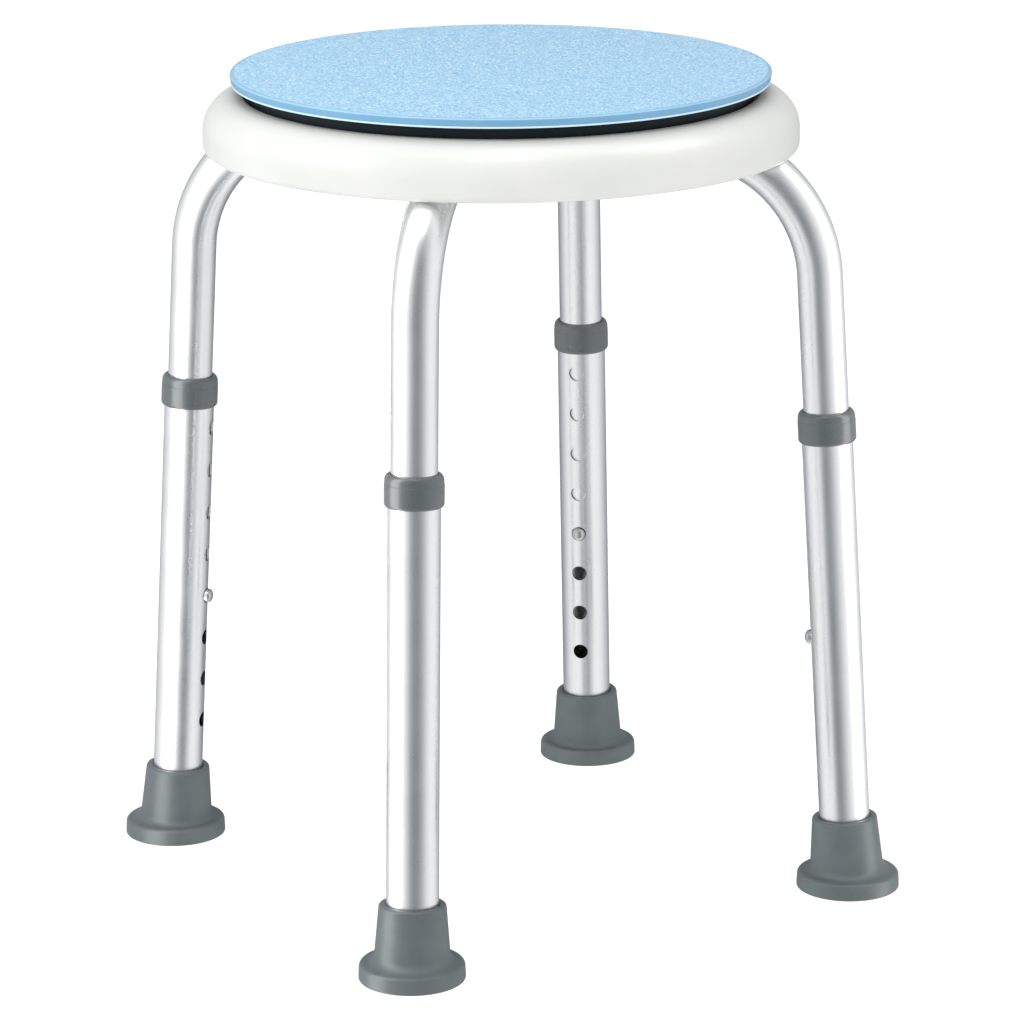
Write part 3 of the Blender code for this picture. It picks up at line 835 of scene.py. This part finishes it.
def make_plate(sparkle, edge_shade_and_highlights, dark):
    """The turning plate: grained on top, smooth round its edge in three blues, and dark below. The side's
    darker blue and the near-black underside are painted shade; the paler blues of the rounded top edge and
    the lower edge are painted highlights.
    """
    top = PLATE_HIGH.z
    bottom = PLATE_LOW.z
    lip = bottom + 0.7 * MM
    plate = turned("seat_plate_fine", rounded([
        (0, top, 0),
        (PLATE_R - 2.6 * MM, top, 0),
        (PLATE_R, top - 0.2 * MM, 1.2 * MM),
        (PLATE_R - 1.1 * MM, lip + 0.3 * MM, 0),
        (PLATE_R - 0.8 * MM, lip, 0.1 * MM),
        (PLATE_R - 0.8 * MM, bottom, 0.3 * MM),
        (PLATE_R - 5 * MM, bottom, 0),
        (HOLLOW_R, bottom, 0),
        (HOLLOW_R, PLATE_HOLLOW_TOP, 0),
        (0, PLATE_HOLLOW_TOP, 0),
    ], 8), 384, sharp=30)
    stand(plate, Matrix(), "swivel_seat", "blue_plastic", sparkle, "seat_plate")
    for finish in (*edge_shade_and_highlights, dark):
        plate.data.materials.append(finish)
    grained, side, rim_highlight, lower_edge_highlight, beneath_painted_shade = range(5)
    for face in plate.data.polygons:
        if face.normal.z > 0.999 and face.center.z > bottom + 4 * MM:
            face.material_index = grained
        # The underside gets near-black: painted shade.
        elif face.normal.z < -0.97:
            face.material_index = beneath_painted_shade
        # The lower edge gets a pale blue, a painted highlight line.
        elif face.center.z < lip + 0.3 * MM:
            face.material_index = lower_edge_highlight
        else:
            # The rounded top edge gets a paler blue, a painted highlight; the side gets a darker blue,
            # painted shade.
            face.material_index = rim_highlight if face.normal.z > 0.35 else side


def make_carrier(dark):
    """The dark disc under the plate, hollow from below, with a boss round the pivot. It is a guessed
    turntable part, and its near-black is also painted shade for the gap under the plate.
    """
    low = CARRIER_LOW.z
    high = CARRIER_HIGH.z
    carrier = turned("turntable_carrier_fine", rounded([
        (8.5 * MM, high, 0),
        (CARRIER_R, high, 0.6 * MM),
        (CARRIER_R, low, 0.8 * MM),
        (CARRIER_R - 3 * MM, low, 0.8 * MM),
        (CARRIER_R - 3 * MM, CARRIER_CEILING, 1.0 * MM),
        (HOLLOW_R, CARRIER_CEILING, 1.0 * MM),
        (HOLLOW_R, low, 0.4 * MM),
        (6.3 * MM, low, 0),
        (6.3 * MM, CARRIER_CEILING, 0),
        (8.5 * MM, CARRIER_CEILING, 0),
    ], 5, closed=True), 192, closed=True)
    stand(carrier, Matrix(), "swivel_seat", "dark_plastic", dark, "turntable_carrier")


def finish_hidden_nodes(steel, nylon):
    """CAD nodes that stay as they are: bearing, bush, washers, springs and plate screws."""
    for name, node in frame["nodes"].items():
        if node.hide_render:
            continue
        finish = nylon if name in ("ball_cage", "pivot_bush") else steel
        node.data.materials.clear()
        node.data.materials.append(finish)


# ---------------------------------------------------------------- studio

def make_camera():
    heading = Vector((math.cos(CAMERA_HEADING), math.sin(CAMERA_HEADING), 0))
    forward = heading * math.cos(CAMERA_PITCH) + Vector((0, 0, math.sin(CAMERA_PITCH)))
    right = forward.cross(Vector((0, 0, 1))).normalized()
    up = right.cross(forward)
    level = Matrix((right, up, -forward)).transposed()
    camera = bpy.data.objects.new("camera", bpy.data.cameras.new("camera"))
    camera.data.sensor_width = 36
    camera.data.lens = CAMERA_LENS
    camera.data.clip_end = 50
    place = Matrix.Translation(CAMERA_PLACE)
    camera.matrix_world = place @ level.to_4x4() @ Matrix.Rotation(CAMERA_ROLL, 4, "Z")
    bpy.context.scene.collection.objects.link(camera)
    bpy.context.scene.camera = camera


# The light tent round the object is dim in a slit on the camera's side, bright beside it and dim behind.
SLIT_GLOW = 0.25
SIDE_GLOW = 0.95
BACK_GLOW = 0.25
# The angles between which it changes, in degrees from the camera's side.
SLIT_HALF = 5
LEFT_BRIGHT_FROM = 35
RIGHT_BRIGHT_FROM = 60
BACK_FADES_FROM = 80
BACK_DIM_FROM = 170
TENT_STEP = 12
TENT_SIDES = 96
TENT_R = 0.63
TENT_LOW = -0.9
TENT_HIGH = 1.3
OVERHEAD = 1.06
FLOOR_LEVEL = -0.115
CAMERA_SIDE = math.atan2(CAMERA_PLACE[1], CAMERA_PLACE[0])


def studio_place(right, away, height):
    """A place in the studio, given to the right of and away from the camera's side."""
    turn = Matrix.Rotation(CAMERA_SIDE + math.pi / 2, 3, "Z")
    return turn @ Vector((right, away, height))


def maths(tree, operation, a, b=None):
    node = add(tree, "ShaderNodeMath", operation=operation)
    for socket, value in zip(node.inputs, (a, b)):
        if isinstance(value, (int, float)):
            socket.default_value = value
        elif value is not None:
            tree.links.new(value, socket)
    return node.outputs[0]


def cool_grey(level):
    """A grey that turns bluish as it gets darker."""
    dark = 1 - level
    return level * (1 - 0.06 * dark), level, level * (1 + 0.07 * dark)


def tent_glow(angle):
    """The tent's brightness at an angle in degrees from the camera's side, positive to the right."""
    bright_from = RIGHT_BRIGHT_FROM if angle > 0 else LEFT_BRIGHT_FROM
    beside = smooth_rise(abs(angle), SLIT_HALF, bright_from)
    behind = smooth_rise(abs(angle), BACK_FADES_FROM, BACK_DIM_FROM)
    return SLIT_GLOW + (SIDE_GLOW - SLIT_GLOW) * beside - (SIDE_GLOW - BACK_GLOW) * behind


def make_tent():
    """A round wall of soft light with a dim slit on the camera's side, which the tubes reflect."""
    bm = bmesh.new()
    for i in range(TENT_SIDES):
        corners = []
        for step, z in ((0, TENT_LOW), (1, TENT_LOW), (1, TENT_HIGH), (0, TENT_HIGH)):
            angle = 2 * math.pi * (i + step) / TENT_SIDES
            corners.append(bm.verts.new((TENT_R * math.cos(angle), TENT_R * math.sin(angle), z)))
        bm.faces.new(corners)
    tent = new_object("light_tent", finish_mesh(bm, "light_tent"))
    material = bpy.data.materials.new("light_tent")
    material.use_nodes = True
    tree = material.node_tree
    tree.nodes.remove(tree.nodes["Principled BSDF"])
    glow = add(tree, "ShaderNodeEmission", Strength=1.0)
    split = tree.nodes.new("ShaderNodeSeparateXYZ")
    tree.links.new(object_place(tree), split.inputs[0])
    azimuth = maths(tree, "ARCTAN2", split.outputs["Y"], split.outputs["X"])
    turned_by = maths(tree, "ADD", azimuth, math.pi - CAMERA_SIDE)
    share = maths(tree, "FRACT", maths(tree, "ADD", maths(tree, "DIVIDE", turned_by, 2 * math.pi), 1))
    angles = range(-180, 181, TENT_STEP)
    level = ramp(tree, share, [((angle + 180) / 360, cool_grey(tent_glow(angle))) for angle in angles])
    tree.links.new(level, glow.inputs["Color"])
    tree.links.new(glow.outputs[0], tree.nodes["Material Output"].inputs["Surface"])
    tent.data.materials.append(material)
    tent.visible_camera = False
    tent.visible_diffuse = False
    tent.visible_shadow = False


def make_world():
    """A white room above the tent."""
    world = bpy.data.worlds.new("studio")
    bpy.context.scene.world = world
    world.use_nodes = True
    tree = world.node_tree
    background = tree.nodes["Background"]
    background.inputs["Color"].default_value = (1, 1, 1, 1)
    background.inputs["Strength"].default_value = OVERHEAD
    white = add(tree, "ShaderNodeBackground", Color=(1, 1, 1, 1))
    seen = tree.nodes.new("ShaderNodeLightPath").outputs["Is Camera Ray"]
    choose = tree.nodes.new("ShaderNodeMixShader")
    tree.links.new(seen, choose.inputs["Fac"])
    tree.links.new(background.outputs[0], choose.inputs[1])
    tree.links.new(white.outputs[0], choose.inputs[2])
    tree.links.new(choose.outputs[0], tree.nodes["World Output"].inputs["Surface"])


def make_floor():
    """A white floor, low enough for the legs at their longest, so the feet are well above it at rest."""
    bm = bmesh.new()
    bmesh.ops.create_grid(bm, x_segments=1, y_segments=1, size=12)
    floor = new_object("floor", finish_mesh(bm, "floor"))
    material, tree, shader = new_material("floor")
    colour = ramp(tree, noise(tree, object_place(tree), 3, 2.0), [(0.3, grey(0.87)), (0.7, grey(0.88))])
    tree.links.new(colour, shader.inputs["Base Color"])
    shader.inputs["Roughness"].default_value = 0.9
    shader.inputs["Emission Color"].default_value = (1, 1, 1, 1)
    shader.inputs["Emission Strength"].default_value = 0.2
    floor.data.materials.append(material)
    floor.location.z = FLOOR_LEVEL
    floor.visible_glossy = False
    floor.visible_shadow = False


def add_softbox(name, place, target, width, height, power, receivers=None):
    """A soft light. With receivers it lights nothing else."""
    light = bpy.data.lights.new(name, "AREA")
    light.shape = "RECTANGLE"
    light.size = width
    light.size_y = height
    light.energy = power
    obj = bpy.data.objects.new(name, light)
    obj.location = place
    obj.rotation_euler = (target - place).to_track_quat("-Z", "Y").to_euler()
    obj.visible_camera = False
    bpy.context.scene.collection.objects.link(obj)
    if receivers is not None:
        only = bpy.data.collections.new(name + "_receivers")
        for piece in receivers:
            only.objects.link(piece)
        obj.light_linking.receiver_collection = only


def add_strip(name, place, target, width, height, power, receivers):
    """A light that these pieces only reflect."""
    add_softbox(name, place, target, width, height, power, receivers)
    bpy.data.objects[name].visible_diffuse = False


def leg_pieces(*corners):
    """The tubes, collars, buttons and feet at these corners."""
    kinds = ("upper_tube_fine", "lower_tube_fine", "collar_fine", "snap_button_fine", "foot_fine")
    return [obj for obj in bpy.data.objects if obj.name.startswith(kinds) and obj.name.endswith(corners)]


def make_lights():
    """Two softboxes for everything, then strips and a fill that only the legs or the seat receive."""
    centre = Vector((0, 0, 0.2))
    add_softbox("left_softbox", studio_place(-1.6, -0.5, 1.2), centre, 1.0, 1.0, 8)
    add_softbox("top_softbox", studio_place(-0.2, -0.9, 2.2), centre, 1.4, 0.8, 5.5)
    left_legs = leg_pieces("front_left", "rear_left")
    right_leg = leg_pieces("front_right")
    add_strip("left_strip", studio_place(-0.50, -0.26, 0.2), centre, 0.36, 2.2, 9.5, left_legs)
    add_strip("right_strip", studio_place(0.58, -0.12, 0.2), centre, 0.25, 2.2, 4.5, right_leg)
    rear_leg = leg_pieces("rear_right")
    add_strip("rear_strip", studio_place(0.0, -0.58, 0.2), centre, 0.14, 2.2, 0.3, rear_leg)
    seat = [bpy.data.objects["seat_fine"]]
    near_rim = studio_place(0, -0.16, 0.44)
    right_rim = studio_place(0.16, 0, 0.44)
    add_strip("seat_strip", studio_place(0.1, -0.2, 1.25), near_rim, 0.7, 0.3, 1.2, seat)
    add_softbox("seat_fill", Vector((0, 0, 2.0)), Vector((0, 0, 0.44)), 1.2, 1.2, 3.2, seat)
    add_strip("seat_side_strip", studio_place(0.5, -0.05, 1.0), right_rim, 0.35, 0.35, 1.8, seat)


def make_object():
    """Every visible piece with its finish."""
    aluminium = anodised_aluminium()
    white = moulded_plastic("white_plastic", (0.655, 0.665, 0.64), (0.685, 0.692, 0.67), 0.32, 1400, 0.06)
    # Near-black for the carrier, partly painted shade of the gap under the plate, and for the plate's
    # underside, painted shade.
    dark = moulded_plastic("dark_plastic", (0.013, 0.023, 0.030), (0.018, 0.030, 0.038),
                           0.5, 900, 0.10, specular=0.2)
    collar = moulded_plastic("grey_plastic", (0.075, 0.092, 0.098), (0.084, 0.103, 0.109),
                             0.26, 900, 0.05, coat=0.8)
    nylon = moulded_plastic("nylon", (0.70, 0.70, 0.66), (0.76, 0.76, 0.72), 0.45, 900, 0.05)
    steel = steel_material("plated_steel", 0.58, 0.68)
    bright = steel_material("bright_steel", 0.50, 0.60)
    make_tubes(aluminium)
    make_collars(collar)
    make_feet(rubber_material())
    make_buttons(bright)
    make_seat(white)
    make_hub(white)
    make_screws(steel)
    make_nut(steel)
    make_bolt(steel)
    # The side's darker blue is painted shade; the paler blues of the rounded top edge and of the lower edge
    # are painted highlights.
    side = smooth_blue("smooth_blue_plastic", (0.158, 0.365, 0.56), (0.176, 0.390, 0.59))
    rim_highlight = smooth_blue("burnished_blue_plastic", (0.29, 0.54, 0.75), (0.33, 0.58, 0.78))
    lower_edge_highlight = smooth_blue("pale_blue_plastic", (0.58, 0.80, 0.91), (0.64, 0.85, 0.95))
    make_plate(sparkling_blue(), (side, rim_highlight, lower_edge_highlight), dark)
    make_carrier(dark)
    finish_hidden_nodes(steel, nylon)


def main():
    for obj in list(bpy.data.objects):
        if obj.name in ("Cube", "Light", "Camera"):
            bpy.data.objects.remove(obj, do_unlink=True)
    make_camera()
    make_object()
    make_world()
    make_tent()
    make_floor()
    make_lights()
    bpy.context.scene.view_settings.view_transform = "Standard"


main()
